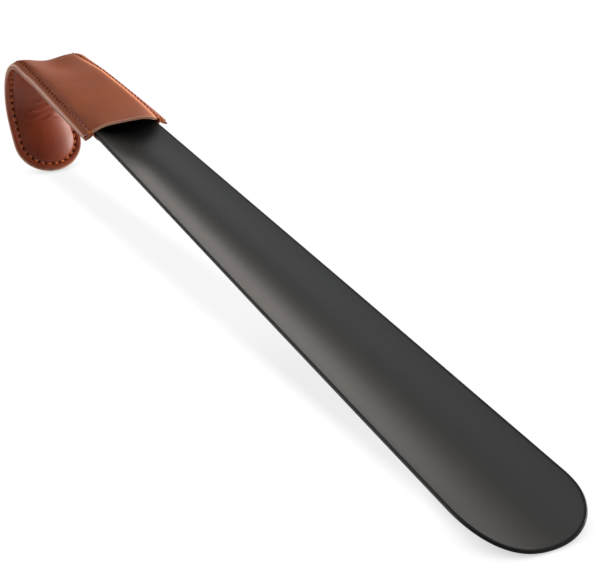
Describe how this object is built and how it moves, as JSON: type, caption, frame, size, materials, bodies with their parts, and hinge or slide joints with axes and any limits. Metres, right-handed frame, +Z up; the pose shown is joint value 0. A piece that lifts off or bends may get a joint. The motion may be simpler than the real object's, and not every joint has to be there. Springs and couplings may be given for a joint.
{
  "type": "long shoehorn",
  "caption": "Long black steel shoehorn with a hollow, round-ended blade and a stitched leather handle bent into a hanging hook.",
  "frame": {"origin": "middle of the footprint, on the table the shoehorn lies on", "axes": "+X from the hook to the toe of the blade, +Y across the blade, +Z up, with the blade's hollow side up"},
  "size_m": [0.421, 0.043, 0.056],
  "materials": {
    "blade_coat": "satin black coat",
    "outer_leather": "smooth brown leather, low sheen",
    "inner_leather": "smooth brown leather, low sheen",
    "seam_thread": "waxed sewing thread"
  },
  "bodies": {
    "root": {"blade": "blade_coat", "outer_cover": "outer_leather", "inner_cover": "inner_leather", "needle_thread": "seam_thread", "bobbin_thread": "seam_thread"}
  },
  "joints": []
}
